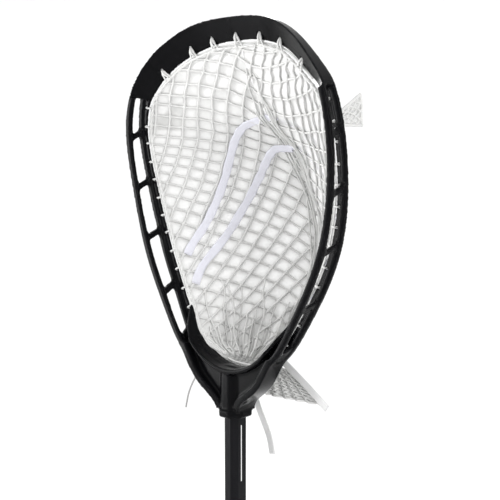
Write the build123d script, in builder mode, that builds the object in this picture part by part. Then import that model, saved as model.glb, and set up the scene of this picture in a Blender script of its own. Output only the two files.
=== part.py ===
"""Goalie lacrosse stick: octagonal shaft, moulded head, screw, end cap and strung mesh pocket.

The stick stands upright: z = 0 is the end cap's bottom face, +z runs up the shaft, the open
face of the head looks along -y and the pocket hangs behind it along +y.
"""
import os
from collections import namedtuple
from math import cos, hypot, radians, sin, tan

from build123d import *

os.makedirs("parts", exist_ok=True)

# ---------------------------------------------------------------- driving dimensions (mm)
shaft_length = 762.0        # stock 30 in handle
shaft_across = 22.5         # between the two side facets
shaft_deep = 26.0           # between the front and back facets
shaft_front_facet = 8.5
shaft_side_facet = 13.0
shaft_wall = 2.0

cap_floor = 4.0
cap_grip = 28.0             # how far the cap reaches up the shaft
cap_wall = 2.6
cap_gap = 0.05              # sliding clearance round the shaft
cap_edge = 1.6              # rounding of the cap's foot

socket_grip = 48.0          # how far the shaft enters the head
socket_gap = 0.15
collar_wall = 4.2
collar_ring_wall = 2.5       # the collar is thicker by this at its mouth
collar_ring_tall = 9.0
collar_roof = 3.0           # closes the socket above the shaft

head_half_width = 160.0
head_length = 459.0         # from the socket's mouth to the top of the scoop
rail_width = 7.5            # of the front and back rails, measured inwards
rail_deep = 6.0
web_inset = 1.2             # the strut wall stands back from both rail faces
web_wall = 5.0
flange_reach = 14.0         # string flange's inner edge, measured in from the outline
flange_wall = 2.6
ramp_deep = 20.0            # how far the scoop's ramp falls back from its lip
ramp_tip = 3.6              # thickness of the scoop's inner edge
strut_wide = 7.0
strut_rise = 8.0            # a strut climbs this much from the front rail to the back rail
window_corner = 4.5
lip_wall = 5.5              # ball stop
throat_web = 9.0            # plate between the throat's arms
arm_wall = 9.0

string_d = 2.2              # sidewall, top and bottom string
string_over = 4.0           # a sidewall string runs this far past its end loops
string_hole_d = 3.6
scoop_hole_d = 5.0
lace_wide = 9.0
lace_thick = 1.6
mesh_wall = 3.0             # thickness of the folded mesh, knots included
mesh_gap = 4.6              # from the flange's edge to the mesh's edge, where the string runs
soft_gap = 0.4              # between soft pieces that lie on each other

screw_d = 3.6
screw_head_d = 7.4
screw_head_tall = 2.4
screw_reach = 3.0           # how far the tip stands inside the shaft's wall
screw_gap = 0.05
screw_height = 21.0         # above the socket's mouth
screw_drive = 3.0           # hexagon drive, across flats

head_base = cap_floor + shaft_length - socket_grip

# Head outline from the throat to the top of the scoop.
# x and z are shares of the half width and the length, face is the y of the front line,
# depth is the wall from front to back and inset is where the inner edge lies.
Row = namedtuple("Row", "x z face depth inset")


def row(share_x, share_z, face, depth, inset=flange_reach):
    """One station of the outline at its real size."""
    return Row(share_x * head_half_width, head_base + share_z * head_length, face, depth, inset)


rows = [
    row(0.462, 0.164, -20.0, 27.0),
    row(0.625, 0.246, -19.0, 31.0),
    row(0.787, 0.351, -19.0, 34.0),
    row(0.894, 0.444, -19.0, 34.0),
    row(0.956, 0.534, -20.5, 32.0),
    row(0.990, 0.621, -24.0, 29.0),
    row(0.996, 0.723, -29.0, 26.0),
    row(0.938, 0.819, -30.5, 23.0, 17.0),
    row(0.856, 0.867, -30.0, 20.0, 20.0),
    row(0.750, 0.9085, -28.0, 17.0, 22.5),
    row(0.612, 0.948, -22.5, 14.0, 24.0),
    row(0.475, 0.974, -18.0, 12.0, 25.0),
    row(0.250, 0.995, -15.0, 10.0, 25.0),
    row(0.0, 1.0, -14.0, 9.0, 25.0),
]
scoop_start = 7             # the row where the sidewalls end and the scoop begins
top = len(rows) - 1


def slope(i):
    """Unit tangent of the left outline at row i, going up."""
    if i == top:
        return 1.0, 0.0
    low = rows[max(i - 1, 0)]
    high = rows[i + 1]
    run = low.x - high.x
    rise = high.z - low.z
    size = hypot(run, rise)
    return run / size, rise / size


def section_plane(i, side=-1):
    """Plane across the outline at row i: local x points into the head, local y is +y."""
    tx, tz = slope(i)
    if side < 0:
        return Plane(origin=(-rows[i].x, 0, rows[i].z), x_dir=(tz, 0, -tx), z_dir=(tx, 0, tz))
    return Plane(origin=(rows[i].x, 0, rows[i].z), x_dir=(-tz, 0, -tx), z_dir=(tx, 0, -tz))


def inner_point(i, inset, side=-1):
    """Point of row i at a distance in from the outline, as x and z."""
    tx, tz = slope(i)
    return side * (rows[i].x - tz * inset), rows[i].z - tx * inset


def wall_at(height):
    """The sidewall between two rows: its row values and its tangent at a height."""
    for i in range(scoop_start):
        low, high = rows[i], rows[i + 1]
        if height <= high.z:
            break
    share = (height - low.z) / (high.z - low.z)
    mixed = Row(*(a + (b - a) * share for a, b in zip(low, high)))
    run, rise = low.x - high.x, high.z - low.z
    size = hypot(run, rise)
    return mixed, run / size, rise / size


def octagon(grow):
    """Corners of the shaft's octagon, grown all round."""
    across = shaft_across / 2 + grow
    deep = shaft_deep / 2 + grow
    corner = grow * tan(radians(22.5))
    front = shaft_front_facet / 2 + corner
    side = shaft_side_facet / 2 + corner
    quarter = [(front, -deep), (across, -side), (across, side), (front, deep)]
    return quarter + [(-x, y) for x, y in reversed(quarter)]


def string_loop(centre, inward, along, ring):
    """A string's loop through a hole: a torus whose plane holds the inward direction."""
    plane = Plane(origin=centre + inward * ring, x_dir=inward, z_dir=along)
    return plane.location * Torus(ring, string_d / 2, mode=Mode.PRIVATE)


def bend_radii(points):
    """Largest fillet at each corner: 0.45 of the shorter run over the tangent of half the turn."""
    radii = []
    for before, here, after in zip(points, points[1:], points[2:]):
        into = here - before
        out = after - here
        half_turn = radians(into.get_angle(out)) / 2
        radii.append(0.45 * min(into.length, out.length) / tan(half_turn))
    return radii


# ---------------------------------------------------------------- shaft
screw_z = head_base + screw_height
collar_back = shaft_deep / 2 + socket_gap + collar_wall
with BuildPart() as shaft:
    with BuildSketch(Plane.XY.offset(cap_floor)):
        with BuildLine():
            Polyline(*octagon(0), close=True)
        make_face()
        with BuildLine():
            Polyline(*octagon(-shaft_wall), close=True)
        make_face(mode=Mode.SUBTRACT)
    extrude(amount=shaft_length)
    with BuildSketch(Plane(origin=(0, 0, screw_z), x_dir=(1, 0, 0), z_dir=(0, 1, 0))):
        Circle(screw_d / 2 + screw_gap)
    extrude(amount=collar_back, mode=Mode.SUBTRACT)
shaft.part.label = "shaft"

# ---------------------------------------------------------------- end cap
with BuildPart() as end_cap:
    with BuildSketch():
        with BuildLine():
            Polyline(*octagon(cap_gap + cap_wall), close=True)
        make_face()
    extrude(amount=cap_floor + cap_grip)
    fillet(end_cap.faces().sort_by(Axis.Z)[0].edges(), radius=cap_edge)
    fillet(end_cap.faces().sort_by(Axis.Z)[-1].edges(), radius=cap_edge / 2)
    with BuildSketch(Plane.XY.offset(cap_floor)):
        with BuildLine():
            Polyline(*octagon(cap_gap), close=True)
        make_face()
    extrude(amount=cap_grip, mode=Mode.SUBTRACT)
end_cap.part.label = "end_cap"


# ---------------------------------------------------------------- head: left sidewall
def wall_profile(r):
    """Cross-section of the sidewall: front rail, strut wall, back rail and string flange."""
    back = r.face + r.depth
    web_in = web_inset + web_wall
    return [
        (0, r.face),
        (rail_width, r.face),
        (rail_width, r.face + rail_deep),
        (web_in, r.face + rail_deep + web_inset),
        (web_in, back - rail_deep - web_inset),
        (rail_width, back - rail_deep),
        (rail_width, back - flange_wall),
        (r.inset, back - flange_wall),
        (r.inset, back),
        (0, back),
        (0, back - rail_deep),
        (web_inset, back - rail_deep - web_inset),
        (web_inset, r.face + rail_deep + web_inset),
        (0, r.face + rail_deep),
    ]


window_low = head_base + 0.187 * head_length
window_high = head_base + 0.822 * head_length
strut_heights = [head_base + share * head_length for share in (0.298, 0.440, 0.576, 0.708)]
edges_up = [window_low] + strut_heights + [window_high]


def window_corners(k):
    """Corners, as y and z, of the window between strut k - 1 and strut k."""
    low = edges_up[k] + (strut_wide / 2 if k > 0 else 0)
    high = edges_up[k + 1] - (strut_wide / 2 if k < len(strut_heights) else 0)
    low_wall = wall_at(low)[0]
    high_wall = wall_at(high)[0]
    return [
        (low_wall.face + rail_deep, low),
        (high_wall.face + rail_deep, high),
        (high_wall.face + high_wall.depth - rail_deep, high + strut_rise),
        (low_wall.face + low_wall.depth - rail_deep, low + strut_rise),
    ]


hole_inset = (rail_width + flange_reach) / 2
string_heights = [head_base + head_length * (0.190 + 0.0505 * k) for k in range(13)]


def string_hole(height, side=-1):
    """Centre of a string hole in the flange, and the flange's inward direction."""
    wall, tx, tz = wall_at(height)
    y = wall.face + wall.depth - flange_wall / 2
    centre = Vector(side * (wall.x - tz * hole_inset), y, height - tx * hole_inset)
    return centre, Vector(-side * tz, 0, -tx), Vector(-side * tx, 0, tz)


with BuildPart() as head_sidewall_left:
    for i in range(scoop_start + 1):
        with BuildSketch(section_plane(i)):
            with BuildLine():
                Polyline(*wall_profile(rows[i]), close=True)
            make_face()
    loft()
    for k in range(len(edges_up) - 1):
        with BuildSketch(Plane.YZ):
            with BuildLine():
                Polyline(*window_corners(k), close=True)
            make_face()
            fillet(vertices(), radius=window_corner)
        extrude(amount=-2 * head_half_width, mode=Mode.SUBTRACT)
    for height in string_heights:
        start = string_hole(height)[0] - Vector(0, flange_wall, 0)
        with BuildSketch(Plane(origin=start, x_dir=(1, 0, 0), z_dir=(0, 1, 0))):
            Circle(string_hole_d / 2)
        extrude(amount=2 * flange_wall, mode=Mode.SUBTRACT)
head_sidewall_left.part.label = "head_sidewall_left"

with BuildPart() as head_sidewall_right:
    add(mirror(head_sidewall_left.part, about=Plane.YZ, mode=Mode.PRIVATE))
head_sidewall_right.part.label = "head_sidewall_right"

# ---------------------------------------------------------------- head: scoop
scoop_hole_back = 8.0       # from the scoop's inner edge
bend_slack = 1.2            # how far the top string's bends pass inside its corners
scoop_hole_rows = [13, 12, 11, 9]


def ramp_profile(r):
    """Cross-section of the scoop: lip, outer wall and the ramp down to the inner edge."""
    return [
        (0, r.face),
        (0, r.face + r.depth),
        (r.inset, r.face + ramp_deep + ramp_tip),
        (r.inset, r.face + ramp_deep),
    ]


def ramp_middle(i, inset, side):
    """Middle of the ramp's thickness at a distance in from the outline."""
    r = rows[i]
    share = inset / r.inset
    front = ramp_deep * share
    back = r.depth + (ramp_deep + ramp_tip - r.depth) * share
    x, z = inner_point(i, inset, side)
    return Vector(x, r.face + (front + back) / 2, z)


def scoop_hole(i, side=-1):
    """A top string hole: its centre, the ramp's inward slope and the direction along the edge."""
    centre = ramp_middle(i, rows[i].inset - scoop_hole_back, side)
    inward = (ramp_middle(i, rows[i].inset, side) - centre).normalized()
    tx, tz = slope(i)
    return centre, inward, Vector(-side * tx, 0, tz)


scoop_sides = [(i, -1) for i in scoop_hole_rows] + [(i, 1) for i in scoop_hole_rows[1:]]

with BuildPart() as head_scoop:
    for i in range(scoop_start, top + 1):
        with BuildSketch(section_plane(i)):
            with BuildLine():
                Polyline(*ramp_profile(rows[i]), close=True)
            make_face()
    for i in range(top - 1, scoop_start - 1, -1):
        with BuildSketch(section_plane(i, 1)):
            with BuildLine():
                Polyline(*ramp_profile(rows[i]), close=True)
            make_face()
    loft()
    for i, side in scoop_sides:
        centre, inward, along = scoop_hole(i, side)
        normal = inward.cross(along)
        with BuildSketch(Plane(origin=centre - normal * 15, x_dir=inward, z_dir=normal)):
            Circle(scoop_hole_d / 2)
        extrude(amount=30, mode=Mode.SUBTRACT)
head_scoop.part.label = "head_scoop"

# ---------------------------------------------------------------- head: throat
first = rows[0]
collar_half = shaft_across / 2 + socket_gap + collar_wall
collar_top = head_base + socket_grip + collar_roof
arm_rows = [
    Row(first.x, first.z, first.face, first.depth, 0),
    Row(first.x - 14, first.z - 21, -20.0, 27.5, 0),
    Row(first.x - 31, first.z - 41, -19.0, 29.0, 0),
    Row(collar_half + 9, head_base + 20, -17.5, 31.5, 0),
    Row(collar_half + collar_ring_wall - 0.6, head_base + collar_ring_tall - 2, -14.5, 30.0, 0),
]


def arm_plane(k):
    """Plane across the left arm of the throat at arm row k."""
    if k == 0:
        return section_plane(0)
    high = arm_rows[k - 1]
    low = arm_rows[min(k + 1, len(arm_rows) - 1)]
    run, rise = low.x - high.x, high.z - low.z
    size = hypot(run, rise)
    tx, tz = run / size, rise / size
    return Plane(origin=(-arm_rows[k].x, 0, arm_rows[k].z), x_dir=(tz, 0, -tx), z_dir=(tx, 0, tz))


stop_top = collar_top + lip_wall + 3.0
stop_half = [(14.0, stop_top), (30.0, stop_top + 5), (48.0, stop_top + 16), (61.0, stop_top + 29)]
stop_curve = [(-x, z) for x, z in reversed(stop_half)] + stop_half
arm_in = inner_point(0, arm_wall)
plate = [
    (-collar_half, head_base + 12),
    (-arm_rows[3].x, head_base + 22),
    (-arm_rows[2].x, arm_rows[2].z + 4),
    (-arm_rows[1].x, arm_rows[1].z + 3),
    (arm_in[0], arm_in[1]),
]

with BuildPart() as head_throat:
    with BuildSketch(Plane.XY.offset(head_base)):
        with BuildLine():
            Polyline(*octagon(socket_gap + collar_wall), close=True)
        make_face()
        fillet(vertices(), radius=2.5)
    extrude(amount=collar_top - head_base)
    with BuildSketch(Plane.XY.offset(head_base)):
        with BuildLine():
            Polyline(*octagon(socket_gap + collar_wall + collar_ring_wall), close=True)
        make_face()
        fillet(vertices(), radius=2.5)
    extrude(amount=collar_ring_tall)
    chamfer(head_throat.faces().sort_by(Axis.Z)[0].edges(), length=collar_ring_wall * 0.6)
    for k in range(len(arm_rows)):
        r = arm_rows[k]
        with BuildSketch(arm_plane(k)):
            with BuildLine():
                Polyline(
                    (0, r.face),
                    (arm_wall, r.face),
                    (arm_wall, r.face + r.depth),
                    (0, r.face + r.depth),
                    close=True,
                )
            make_face()
    loft(clean=False)
    mirror(head_throat.part, about=Plane.YZ)
    with BuildSketch(Plane(origin=(0, throat_web / 2 - 1, 0), x_dir=(1, 0, 0), z_dir=(0, -1, 0))):
        with BuildLine():
            Polyline(*plate, *stop_curve, *[(-x, z) for x, z in reversed(plate)], close=True)
        make_face()
    extrude(amount=throat_web)
    with BuildSketch(Plane(origin=(0, 9, 0), x_dir=(1, 0, 0), z_dir=(0, -1, 0))):
        with BuildLine():
            Spline(*stop_curve)
            Spline(*[(x, z - lip_wall) for x, z in stop_curve])
            Line(stop_curve[0], (stop_curve[0][0], stop_curve[0][1] - lip_wall))
            Line(stop_curve[-1], (stop_curve[-1][0], stop_curve[-1][1] - lip_wall))
        make_face()
    extrude(amount=27)
    with BuildSketch(Plane.XY.offset(head_base)):
        with BuildLine():
            Polyline(*octagon(socket_gap), close=True)
        make_face()
    extrude(amount=socket_grip, mode=Mode.SUBTRACT)
    with BuildSketch(Plane(origin=(0, 0, screw_z), x_dir=(1, 0, 0), z_dir=(0, 1, 0))):
        Circle(screw_d / 2 + screw_gap)
    extrude(amount=collar_back + 5, mode=Mode.SUBTRACT)
head_throat.part.label = "head_throat"

# ---------------------------------------------------------------- head screw
head_seat = collar_back + screw_gap
with BuildPart() as head_screw:
    with BuildSketch(Plane(origin=(0, head_seat, screw_z), x_dir=(1, 0, 0), z_dir=(0, 1, 0))):
        Circle(screw_head_d / 2)
    extrude(amount=screw_head_tall)
    fillet(head_screw.faces().sort_by(Axis.Y)[-1].edges(), radius=screw_head_tall / 2)
    with BuildSketch(Plane(origin=(0, head_seat, screw_z), x_dir=(1, 0, 0), z_dir=(0, -1, 0))):
        Circle(screw_d / 2)
    extrude(amount=head_seat - shaft_deep / 2 + shaft_wall + screw_reach)
    with BuildSketch(Plane(origin=(0, head_seat + screw_head_tall, screw_z), z_dir=(0, -1, 0))):
        RegularPolygon(screw_drive / 2, 6, major_radius=False)
    extrude(amount=screw_head_tall * 0.6, mode=Mode.SUBTRACT)
head_screw.part.label = "head_screw"

# ---------------------------------------------------------------- mesh pocket
# Each rib of the bag runs from the left edge round the back to the right edge.  Its ends sit
# beside the row's inner edge and its middle lies at depth y and height z.
Rib = namedtuple("Rib", "half y z deep_y deep_z")


def rib(i, deep_y, share_z):
    """A rib whose ends hang from row i."""
    r = rows[i]
    x, z = inner_point(i, r.inset + mesh_gap)
    edge_y = r.face + (r.depth - flange_wall if i < scoop_start else ramp_deep)
    return Rib(-x, edge_y, z, deep_y, head_base + share_z * head_length)


throat_y = 13.0
ribs = [
    Rib(30.0, throat_y, stop_top + 6, 50.0, head_base + 0.118 * head_length),
    rib(0, 104.0, 0.168),
    rib(1, 138.0, 0.250),
    rib(2, 154.0, 0.352),
    rib(3, 157.0, 0.430),
    rib(4, 149.0, 0.515),
    rib(5, 132.0, 0.600),
    rib(6, 100.0, 0.688),
    rib(7, 60.0, 0.757),
    rib(8, 44.0, 0.800),
    rib(9, 33.0, 0.838),
    rib(10, 24.0, 0.872),
    rib(11, 16.0, 0.905),
    rib(12, 10.0, 0.932),
]
bag_power = 1.2             # the rib's shape: 2 would be an ellipse, 1 a V
bag_steps = 7


def rib_frame(b):
    """The rib's origin, its unit direction to the back and its depth."""
    back = Vector(0, b.deep_y - b.y, b.deep_z - b.z)
    return Vector(0, b.y, b.z), back.normalized(), back.length


def rib_curve(b, angle, lift=0.0):
    """Local x and y of the bag at an angle from its middle, lifted inwards."""
    share = 2 / bag_power
    deep = rib_frame(b)[2]
    side = 1 if angle >= 0 else -1
    across = side * (b.half - lift) * abs(sin(radians(angle))) ** share
    return across, (deep - 1.4 * lift) * max(cos(radians(angle)), 0) ** share


def bag_point(station, angle, lift=0.0):
    """A point of the bag between two ribs, lifted inwards."""
    k = min(int(station), len(ribs) - 2)
    ends = []
    for b in ribs[k:k + 2]:
        origin, back, _ = rib_frame(b)
        x, y = rib_curve(b, angle, lift)
        ends.append(origin + back * y + Vector(x, 0, 0))
    return ends[0] + (ends[1] - ends[0]) * (station - k)


bag_angles = [-90 + 90 * k / bag_steps for k in range(2 * bag_steps + 1)]
with BuildPart() as mesh_pocket:
    for b in ribs:
        origin, back, _ = rib_frame(b)
        outer = [rib_curve(b, a) for a in bag_angles]
        inner = [rib_curve(b, a, mesh_wall) for a in bag_angles]
        with BuildSketch(Plane(origin=origin, x_dir=(1, 0, 0), z_dir=Vector(1, 0, 0).cross(back))):
            with BuildLine():
                Polyline(*outer, *reversed(inner), close=True)
            make_face()
    loft(ruled=True)
mesh_pocket.part.label = "mesh_pocket"

# The mesh is longer than the head: its lower end is gathered and hangs behind the throat.
tail_y = 36.0
tail_thick = 10.0
tail_outline = [(6, 48), (30, 53), (60, 57), (103, 21), (80, 15), (58, 10), (36, 14), (14, 23)]
with BuildPart() as mesh_tail:
    with BuildSketch(Plane(origin=(0, tail_y, head_base), x_dir=(1, 0, 0), z_dir=(0, -1, 0))):
        with BuildLine():
            Polyline(*tail_outline, close=True)
        make_face()
    extrude(amount=-tail_thick)
mesh_tail.part.label = "mesh_tail"

# Each upper corner of the mesh stands free behind the end of its sidewall.
corner_row = rows[scoop_start]
corner_x = corner_row.x - rail_width - mesh_wall / 2
corner_back = corner_row.face + corner_row.depth
corner_outline = [(7, -5), (corner_back + 58, -8), (corner_back + 54, -20), (12, -44)]
with BuildPart() as mesh_corner_left:
    with BuildSketch(Plane(origin=(-corner_x, 0, corner_row.z), x_dir=(0, 1, 0), z_dir=(1, 0, 0))):
        with BuildLine():
            Polyline(*corner_outline, close=True)
        make_face()
    extrude(amount=mesh_wall / 2, both=True)
mesh_corner_left.part.label = "mesh_corner_left"

with BuildPart() as mesh_corner_right:
    add(mirror(mesh_corner_left.part, about=Plane.YZ, mode=Mode.PRIVATE))
mesh_corner_right.part.label = "mesh_corner_right"


# ---------------------------------------------------------------- strings
def string_edge(height, side):
    """Where a sidewall string runs, between the flange's edge and the mesh's edge."""
    wall, tx, tz = wall_at(height)
    inset = wall.inset + mesh_gap / 2
    y = wall.face + wall.depth - flange_wall / 2
    return Vector(side * (wall.x - tz * inset), y, height - tx * inset)


sidewall_strings = []
for side, name in ((-1, "sidewall_string_left"), (1, "sidewall_string_right")):
    low, high = string_heights[0] - string_over, string_heights[-1] + string_over
    heights = [low] + [r.z for r in rows[1:scoop_start]] + [high]
    points = [string_edge(height, side) for height in heights]
    with BuildPart() as string:
        with BuildLine() as run:
            FilletPolyline(*points, radius=bend_radii(points))
        with BuildSketch(Plane(origin=run.wire() @ 0, z_dir=run.wire() % 0)):
            Circle(string_d / 2)
        sweep(path=run.wire())
        for height in string_heights:
            centre, inward, along = string_hole(height, side)
            reach = wall_at(height)[0].inset + mesh_gap / 2 - hole_inset
            add(string_loop(centre, inward, along, reach / 2))
    string.part.label = name
    sidewall_strings.append(string.part)

top_points = [ramp_middle(i, rows[i].inset + mesh_gap / 2, -1) for i in range(scoop_start + 1, top)]
top_points += [ramp_middle(top, rows[top].inset + mesh_gap / 2, -1)]
top_points += [Vector(-p.X, p.Y, p.Z) for p in reversed(top_points[:-1])]
with BuildPart() as top_string:
    with BuildLine() as top_run:
        FilletPolyline(*top_points, radius=bend_radii(top_points))
    with BuildSketch(Plane(origin=top_run.wire() @ 0, z_dir=top_run.wire() % 0)):
        Circle(string_d / 2)
    sweep(path=top_run.wire())
    for i, side in scoop_sides:
        centre, inward, along = scoop_hole(i, side)
        add(string_loop(centre, inward, along, (scoop_hole_back + mesh_gap / 2 + bend_slack) / 2))
top_string.part.label = "top_string"

# The bottom string crosses behind the ball stop from one sidewall to the other.
bottom_half = [
    Vector(14.0, throat_y + 3, stop_top - 1),
    Vector(30.0, throat_y + 2, stop_top + 3),
    Vector(46.0, throat_y - 1, stop_top + 13),
]
bottom_points = [Vector(-p.X, p.Y, p.Z) for p in reversed(bottom_half)] + bottom_half
with BuildPart() as bottom_string:
    with BuildLine() as bottom_run:
        FilletPolyline(*bottom_points, radius=bend_radii(bottom_points))
    with BuildSketch(Plane(origin=bottom_run.wire() @ 0, z_dir=bottom_run.wire() % 0)):
        Circle(string_d / 2)
    sweep(path=bottom_run.wire())
bottom_string.part.label = "bottom_string"

# ---------------------------------------------------------------- shooting laces
# Two flat laces cross the pocket's inner side as nested arches.  Each stop is a place along
# the bag's ribs and an angle from its middle.
lace_stops = {
    "shooting_lace_lower": [
        (3.3, -77), (4.15, -63.5), (5.1, -54), (6.3, -44.5), (7.2, -35.5), (7.65, -27), (7.9, -14), (8.0, 0),
    ],
    "shooting_lace_upper": [
        (2.5, -77), (3.7, -56.5), (5.15, -41), (5.95, -33), (6.55, -25), (6.85, -18), (6.9, -9), (6.9, 0),
    ],
}
lace_lift = mesh_wall + soft_gap + lace_thick


def lace_station(path, k):
    """Plane across a lace at stop k, with local x across the lace and local y off the mesh."""
    station, angle = path[k]
    here = bag_point(station, angle, lace_lift)
    if k == len(path) - 1:
        along = Vector(1, 0, 0)
    else:
        behind = bag_point(*path[max(k - 1, 0)], lace_lift)
        along = (bag_point(*path[k + 1], lace_lift) - behind).normalized()
    across_bag = bag_point(station, angle + 2, lace_lift) - bag_point(station, angle - 2, lace_lift)
    up_bag = bag_point(station + 0.1, angle, lace_lift) - bag_point(station - 0.1, angle, lace_lift)
    off = up_bag.cross(across_bag).normalized()
    return Plane(origin=here, x_dir=off.cross(along), z_dir=along)


laces = []
for name, path in lace_stops.items():
    with BuildPart() as lace:
        for k in range(len(path)):
            with BuildSketch(lace_station(path, k)):
                Rectangle(lace_wide, lace_thick)
        loft(ruled=True)
        mirror(about=Plane.YZ)
    lace.part.label = name
    laces.append(lace.part)

# ---------------------------------------------------------------- loose ends
# Routes of the ends that hang free, in the model's frame.
lace_tail_right_route = [
    Vector(45, 33, head_base + 66),
    Vector(58, 33.5, head_base + 58),
    Vector(71, 33.5, head_base + 49),
    Vector(84, 33.5, head_base + 40.5),
    Vector(98, 33, head_base + 31),
    Vector(111, 33, head_base + 21.5),
]
lace_tail_back_route = [
    Vector(-8, 30, head_base + 44),
    Vector(-4, 32, head_base + 29),
    Vector(2, 33, head_base + 15),
    Vector(8, 33, head_base + 2),
    Vector(15, 33, head_base - 11),
    Vector(22.5, 33, head_base - 24),
    Vector(27, 33, head_base - 36),
    Vector(29.5, 33, head_base - 49),
]
string_tail_left_route = [
    Vector(-58, 13, head_base + 66),
    Vector(-68, 18, head_base + 54),
    Vector(-80, 22, head_base + 41),
    Vector(-92, 25, head_base + 27),
    Vector(-102, 26, head_base + 13),
    Vector(-109, 26, head_base - 2),
    Vector(-112, 25.5, head_base - 18),
]


def loose_end(name, points, wide, thick):
    """A free end of flat lace, or of round string where its two sizes are the same."""
    with BuildPart() as end:
        with BuildLine() as route:
            FilletPolyline(*points, radius=bend_radii(points))
        wire = route.wire()
        across = (wire % 0).cross(Vector(0, 1, 0)).normalized()
        with BuildSketch(Plane(origin=wire @ 0, x_dir=across, z_dir=wire % 0)):
            if wide == thick:
                Circle(wide / 2)
            else:
                Rectangle(wide, thick)
        sweep(path=wire)
    end.part.label = name
    print(name, "length", round(wire.length, 1), "volume", round(end.part.volume, 1))
    print(name, "bend radii", [round(r, 1) for r in bend_radii(points)])
    return end.part


loose_ends = [
    loose_end("lace_tail_right", lace_tail_right_route, lace_wide, lace_thick),
    loose_end("lace_tail_back", lace_tail_back_route, lace_wide, lace_thick),
    loose_end("string_tail_left", string_tail_left_route, string_d, string_d),
]

for piece in (
    shaft.part, end_cap.part, head_sidewall_left.part, head_sidewall_right.part, head_scoop.part,
    head_throat.part, head_screw.part, mesh_pocket.part, mesh_tail.part, mesh_corner_left.part,
    mesh_corner_right.part, top_string.part, bottom_string.part, *sidewall_strings, *laces,
    *loose_ends,
):
    export_step(piece, f"parts/{piece.label}.step")
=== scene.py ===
"""Looks of a goalie lacrosse stick: moulded head, painted handle, knotted net, laces and cords."""

import math

import bmesh
import bpy
import numpy as np
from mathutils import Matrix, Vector


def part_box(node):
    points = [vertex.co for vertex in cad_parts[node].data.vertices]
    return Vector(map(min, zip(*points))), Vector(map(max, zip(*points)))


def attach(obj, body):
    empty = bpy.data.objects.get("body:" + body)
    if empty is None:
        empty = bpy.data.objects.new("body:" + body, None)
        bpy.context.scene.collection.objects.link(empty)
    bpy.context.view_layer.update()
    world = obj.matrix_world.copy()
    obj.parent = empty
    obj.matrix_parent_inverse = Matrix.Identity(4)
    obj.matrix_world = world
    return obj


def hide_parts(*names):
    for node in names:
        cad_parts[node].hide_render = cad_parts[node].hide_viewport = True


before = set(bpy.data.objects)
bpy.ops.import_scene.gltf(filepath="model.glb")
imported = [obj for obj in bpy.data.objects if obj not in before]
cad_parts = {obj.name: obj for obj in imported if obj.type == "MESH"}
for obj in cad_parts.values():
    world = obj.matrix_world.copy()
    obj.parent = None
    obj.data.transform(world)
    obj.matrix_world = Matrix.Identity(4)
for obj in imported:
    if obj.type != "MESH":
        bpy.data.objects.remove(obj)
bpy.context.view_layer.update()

bl_info = {
    "name": "Goalie stick looks",
    "version": (1, 0, 0),
    "blender": (4, 5, 0),
    "location": "3D View > Sidebar > Stick",
    "description": "Builds the moulded head, handle, strung net, laces and stage of a goalie stick",
    "category": "Object",
}

MM = 0.001
NOISE_GRIT = 0.55
STRIPE_FACET = 0.0105               # the stripe lies on the handle's facet beyond this x
STRIPE_EDGES = (-0.0022, -0.0008)   # its two edges in y
STRIPE_ENDS = (-0.078, -0.010)      # its foot and its top, above the socket's mouth
PLAITS = 2600.0                     # turns of a cord's plait, radians for each metre
LACE_RIBS = 5200.0                  # ribs of a lace, radians for each metre
CELL_MIDDLE = (0.54, 0.46)          # where the fibre and its painted shadow halo are thinnest in a cell of the net, set off the middle like shadow under the row cord
HEAD_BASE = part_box("head_throat")[0][2]
HEAD_NODES = ("head_throat", "head_sidewall_left", "head_sidewall_right", "head_scoop")

# The pocket's ribs from the throat up: half width at the edge, y and height of the edge,
# y and height of the middle, in mm, heights above the socket's mouth.
POCKET_RIBS = (
    (30.0, 13.0, 65.5, 50.0, 54.2),
    (58.6, 4.4, 85.9, 104.0, 77.1),
    (84.1, 9.4, 122.6, 138.0, 114.8),
    (109.1, 12.4, 169.1, 154.0, 161.6),
    (125.3, 12.4, 209.5, 157.0, 197.4),
    (134.7, 8.9, 248.6, 149.0, 236.4),
    (139.9, 2.4, 286.4, 132.0, 275.4),
    (140.8, -5.6, 330.2, 100.0, 315.8),
    (129.6, -10.5, 369.0, 60.0, 347.5),
    (117.1, -10.0, 383.4, 44.0, 367.2),
    (101.3, -8.0, 397.4, 33.0, 384.6),
    (81.8, -2.5, 411.5, 24.0, 400.2),
    (65.7, 2.0, 419.3, 16.0, 415.4),
    (35.4, 5.0, 427.5, 10.0, 427.8),
)
POCKET_POWER = 1.2                  # rib shape: 2 is an ellipse, 1 a V
LACE_DIVE = 0.53                    # share of a lace that lies inside the net before it passes behind
LACE_LIFT = 4.2 * MM                # how far a lace lies inside the pocket's outer face
LACE_BEHIND = 7.0 * MM              # how far it sinks where it passes behind the net
LACE_THICK = 1.3 * MM
TAIL_THICK = 1.5 * MM
STRING_RADIUS = 1.1 * MM
LACE_SPREAD = 1.25                  # a lace pulled over the net lies flatter and wider than its loose end

ROW_SLANT = math.radians(13)        # the net's rows fall from left to right
COLUMN_SLANT = math.radians(60)     # its columns climb from left to right
TOP_SHEAR = 0.35                    # how far the rows lift again under the scoop
MIDDLE_SAG = 0.030                  # how far the rows sag towards the middle fold
NET_START = (-0.02, 0.20)           # one knot's place across and up
NET_REACH = 0.75                    # how far the lattice runs before the pocket's outline cuts it
THROAT_GATHER = (0.03, 0.12)        # the net is bunched below the first height and open above the second
MIDDLE_GATHER = (0.008, 0.03)       # the same across from the middle fold
EDGE_GATHER = (0.002, 0.012)        # and in from the edge
HEM_DEPTHS = np.arange(1.5, 15, 1.9) * MM
TIE_SPLAY = 0.0045                  # how far each of a tie's two cords lands from its hole
FOLD_BUNCHED = 0.55                 # how closely the loose net's folds lie together
FOLD_PAINTED_SHADE = 0.8                    # painted shade: how much darker the loose net's fibre is, for the shade its folds hang in
TAIL_SHADE = (0.66, 0.66, 0.66)     # the laces' loose ends are greyer than the laces
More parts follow.
